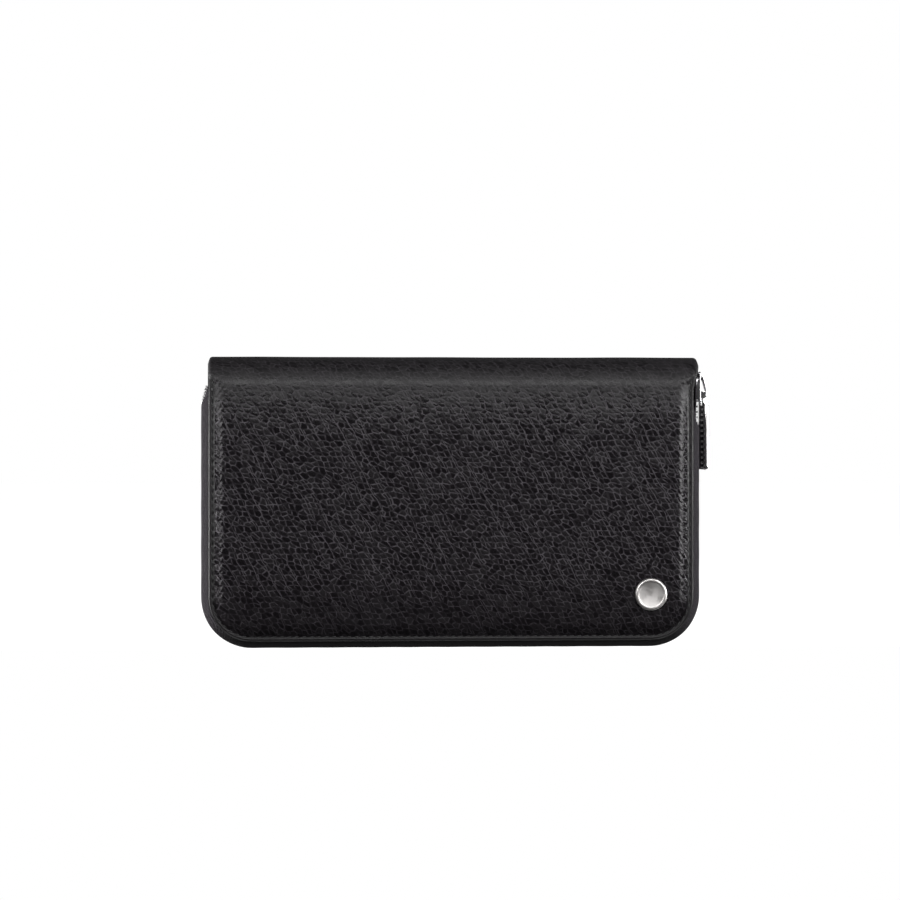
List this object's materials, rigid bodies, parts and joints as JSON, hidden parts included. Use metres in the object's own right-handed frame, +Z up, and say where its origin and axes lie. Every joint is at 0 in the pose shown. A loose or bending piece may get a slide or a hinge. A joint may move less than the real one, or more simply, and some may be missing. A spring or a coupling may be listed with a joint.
{
  "type": "zip-around long wallet",
  "caption": "Black pebbled leather long wallet with padded covers, a metal zip round its open sides, a hanging pull and a plain metal disc; opens to card pockets and a zipped coin pocket.",
  "frame": {"origin": "centre of the whole part's footprint on the plane that the folded zip tape stands on", "axes": "+X to the right along the width, -Y the way the front cover faces, +Z up towards the spine"},
  "size_m": [0.1996, 0.0264, 0.1137],
  "materials": {
    "outer_leather": "satin pebbled grain",
    "inner_leather": "smooth satin",
    "padding": "matte",
    "board": "matte",
    "zip_tape": "matte twill",
    "zip_metal": "polished",
    "satin_metal": "satin",
    "polished_metal": "polished"
  },
  "bodies": {
    "back": {"back_cover_leather": "outer_leather", "back_padding": "padding", "back_board": "board", "back_lining": "inner_leather", "back_card_tier_1": "inner_leather", "back_card_tier_2": "inner_leather", "back_card_tier_3": "inner_leather", "back_card_tier_4": "inner_leather", "spine_leather": "outer_leather", "spine_padding": "padding", "spine_lining": "inner_leather", "zip_tape_back": "zip_tape", "zip_teeth_back": "zip_metal", "zip_stops_back": "zip_metal", "gusset_back_right": "inner_leather", "gusset_back_left": "inner_leather"},
    "coin_pocket": {"coin_wall_front": "inner_leather", "coin_wall_back": "inner_leather", "coin_binding_top": "inner_leather", "coin_binding_right": "inner_leather", "coin_binding_left": "inner_leather", "coin_zip_tape_front": "zip_tape", "coin_zip_tape_back": "zip_tape", "coin_zip_teeth_front": "zip_metal", "coin_zip_teeth_back": "zip_metal"},
    "front": {"front_cover_leather": "outer_leather", "front_padding": "padding", "front_board": "board", "front_lining": "inner_leather", "front_card_tier_1": "inner_leather", "front_card_tier_2": "inner_leather", "front_card_tier_3": "inner_leather", "front_card_tier_4": "inner_leather", "disc_plate": "satin_metal", "disc_washer": "satin_metal", "zip_tape_front": "zip_tape", "zip_teeth_front": "zip_metal", "zip_stops_front": "zip_metal", "gusset_front_right": "inner_leather", "gusset_front_left": "inner_leather"},
    "slider": {"slider_body": "polished_metal", "slider_bridge": "polished_metal"},
    "pull": {"pull_tab": "polished_metal"},
    "coin_slider": {"coin_slider_body": "polished_metal", "coin_slider_bridge": "polished_metal"},
    "coin_pull": {"coin_pull": "polished_metal"}
  },
  "joints": [
    {"name": "divider_swing", "type": "hinge", "parent": "back", "child": "coin_pocket", "pos_m": [0, 0, 0.1012], "axis": [-1, 0, 0], "range_deg": [0, 25], "deforming": ["spine_leather", "spine_padding", "spine_lining", "gusset_back_right", "gusset_back_left"]},
    {"name": "cover_opening", "type": "hinge", "parent": "coin_pocket", "child": "front", "pos_m": [0, 0, 0.1012], "axis": [-1, 0, 0], "range_deg": [0, 25], "deforming": ["gusset_front_right", "gusset_front_left", "zip_tape_front", "zip_teeth_front", "zip_stops_front"]},
    {"name": "slider_travel", "type": "slide", "parent": "back", "child": "slider", "axis": [0, 0, -1], "range_m": [0, 0.064], "deforming": ["zip_teeth_back"]},
    {"name": "pull_swing", "type": "hinge", "parent": "slider", "child": "pull", "pos_m": [0.0979, 0, 0.0996], "axis": [0, -1, 0], "range_deg": [0, 120]},
    {"name": "coin_slider_travel", "type": "slide", "parent": "coin_pocket", "child": "coin_slider", "axis": [-1, 0, 0], "range_m": [0, 0.136], "deforming": ["coin_zip_teeth_front", "coin_zip_teeth_back"]},
    {"name": "coin_pull_swing", "type": "hinge", "parent": "coin_slider", "child": "coin_pull", "pos_m": [0.0644, 0, 0.02235], "axis": [0, -1, 0], "range_deg": [-60, 60]}
  ],
  "couplings": [
    {"joint": "cover_opening", "follows": "divider_swing", "ratio": 1}
  ]
}
